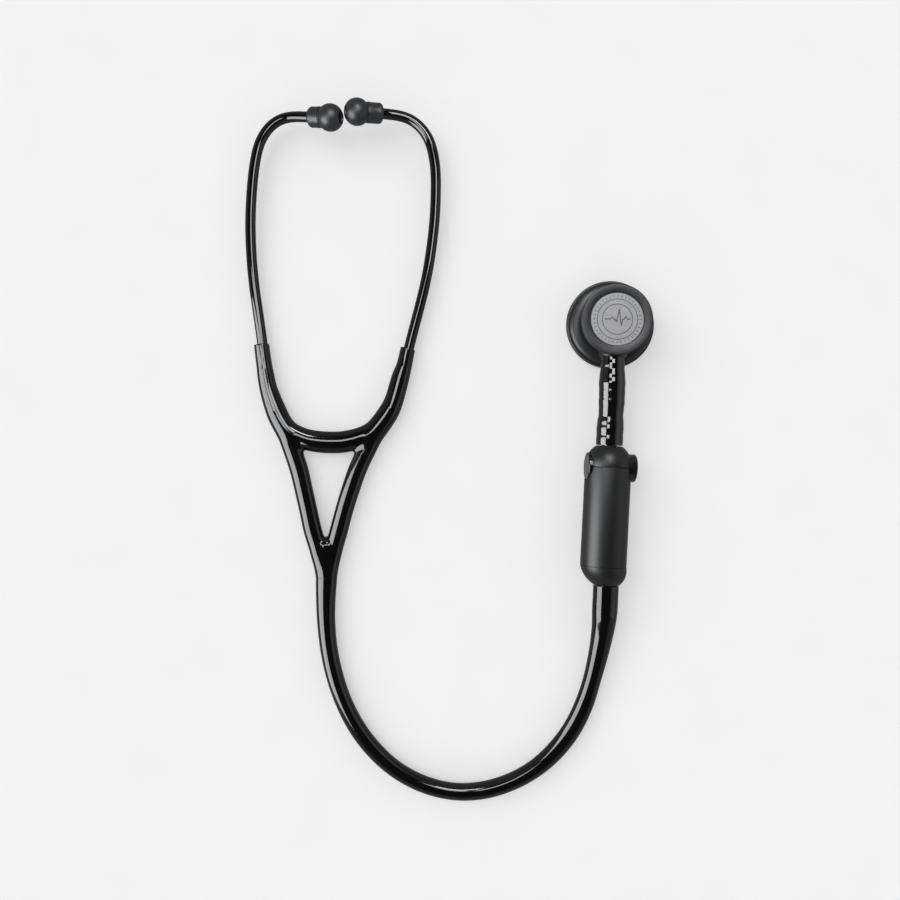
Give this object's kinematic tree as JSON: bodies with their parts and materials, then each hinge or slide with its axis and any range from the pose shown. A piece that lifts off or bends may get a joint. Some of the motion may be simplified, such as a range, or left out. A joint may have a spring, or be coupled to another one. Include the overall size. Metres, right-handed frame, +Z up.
{
  "type": "dual-head stethoscope with amplifier module",
  "caption": "Dual-head stethoscope: sprung binaural headset, oval hose, in-line amplifier module and a turned chestpiece that swivels on its stem.",
  "frame": {"origin": "on the resting surface, under the middle of the object's box measured without the free hose", "axes": "+Y from the hose's bend up to the eartips, +X from the headset across to the chestpiece, +Z up from the table"},
  "size_m": [0.2168, 0.3681, 0.025],
  "materials": {
    "black_pvc": "glossy soft tubing",
    "black_metal": "polished black coating",
    "grey_silicone": "satin silicone",
    "module_plastic": "soft-touch matt",
    "pad_plastic": "glossy rim, matt face",
    "smoked_steel": "smoked, fine circular brushing",
    "bright_steel": "plain turned steel",
    "grey_membrane": "satin light grey",
    "black_membrane": "satin black",
    "green_board": "solder mask",
    "battery_foil": "foil wrap"
  },
  "bodies": {
    "tubing_and_module": {"headset_yoke": "black_pvc", "headset_spring": "bright_steel", "main_hose": "black_pvc", "chestpiece_tube": "black_pvc", "module_shell": "module_plastic", "module_upper_cap": "module_plastic", "module_lower_cap": "module_plastic", "upper_barb": "black_metal", "lower_barb": "black_metal", "power_plate": "module_plastic", "volume_plate": "module_plastic", "power_switch": "bright_steel", "volume_up_switch": "bright_steel", "volume_down_switch": "bright_steel", "battery": "battery_foil", "circuit_board": "green_board", "microphone": "bright_steel", "speaker": "bright_steel", "charging_port": "bright_steel", "lower_seal": "black_pvc", "stem": "bright_steel"},
    "left_arm": {"left_arm_tube": "black_pvc", "left_eartube": "black_metal", "left_tip_ferrule": "bright_steel", "left_eartip": "grey_silicone"},
    "right_arm": {"right_arm_tube": "black_pvc", "right_eartube": "black_metal", "right_tip_ferrule": "bright_steel", "right_eartip": "grey_silicone"},
    "chest_head": {"head_body": "smoked_steel", "stem_collar": "smoked_steel", "detent_ball": "bright_steel", "detent_spring": "bright_steel", "adult_rim": "smoked_steel", "paediatric_rim": "smoked_steel"},
    "adult_membrane": {"adult_diaphragm": "black_membrane"},
    "paediatric_membrane": {"paediatric_diaphragm": "grey_membrane"},
    "power_key": {"power_button": "pad_plastic"},
    "volume_key": {"volume_rocker": "pad_plastic"}
  },
  "joints": [
    {"name": "left_arm_spread", "type": "hinge", "parent": "tubing_and_module", "child": "left_arm", "pos_m": [-0.0838, -0.0462, 0.0047], "axis": [0, 0, 1], "range_deg": [0, 25], "stiffness_Nm_per_rad": 1.1, "springref_deg": -3.44},
    {"name": "right_arm_spread", "type": "hinge", "parent": "tubing_and_module", "child": "right_arm", "pos_m": [-0.043, -0.0462, 0.0047], "axis": [0, 0, 1], "range_deg": [-25, 0], "stiffness_Nm_per_rad": 1.1, "springref_deg": 3.44},
    {"name": "head_swivel", "type": "hinge", "parent": "tubing_and_module", "child": "chest_head", "pos_m": [0.08524, 0.0166, 0.0135], "axis": [-0.0174, -0.9998, 0], "continuous": true},
    {"name": "adult_diaphragm_travel", "type": "slide", "parent": "chest_head", "child": "adult_membrane", "axis": [0, 0, 1], "range_m": [0, 0.0004], "stiffness_N_per_m": 2500},
    {"name": "paediatric_diaphragm_travel", "type": "slide", "parent": "chest_head", "child": "paediatric_membrane", "axis": [0, 0, -1], "range_m": [0, 0.0003], "stiffness_N_per_m": 2500},
    {"name": "power_button_press", "type": "slide", "parent": "tubing_and_module", "child": "power_key", "axis": [0.9974, -0.0505, -0.0523], "range_m": [0, 0.00025], "stiffness_N_per_m": 2000},
    {"name": "volume_rocker_tilt", "type": "hinge", "parent": "tubing_and_module", "child": "volume_key", "pos_m": [0.09315, -0.05951, 0.01145], "axis": [0.0523, -0.0026, 0.9986], "range_deg": [-3.5, 3.5], "stiffness_Nm_per_rad": 0.16}
  ],
  "couplings": [
    {"joint": "right_arm_spread", "follows": "left_arm_spread", "ratio": -1}
  ]
}
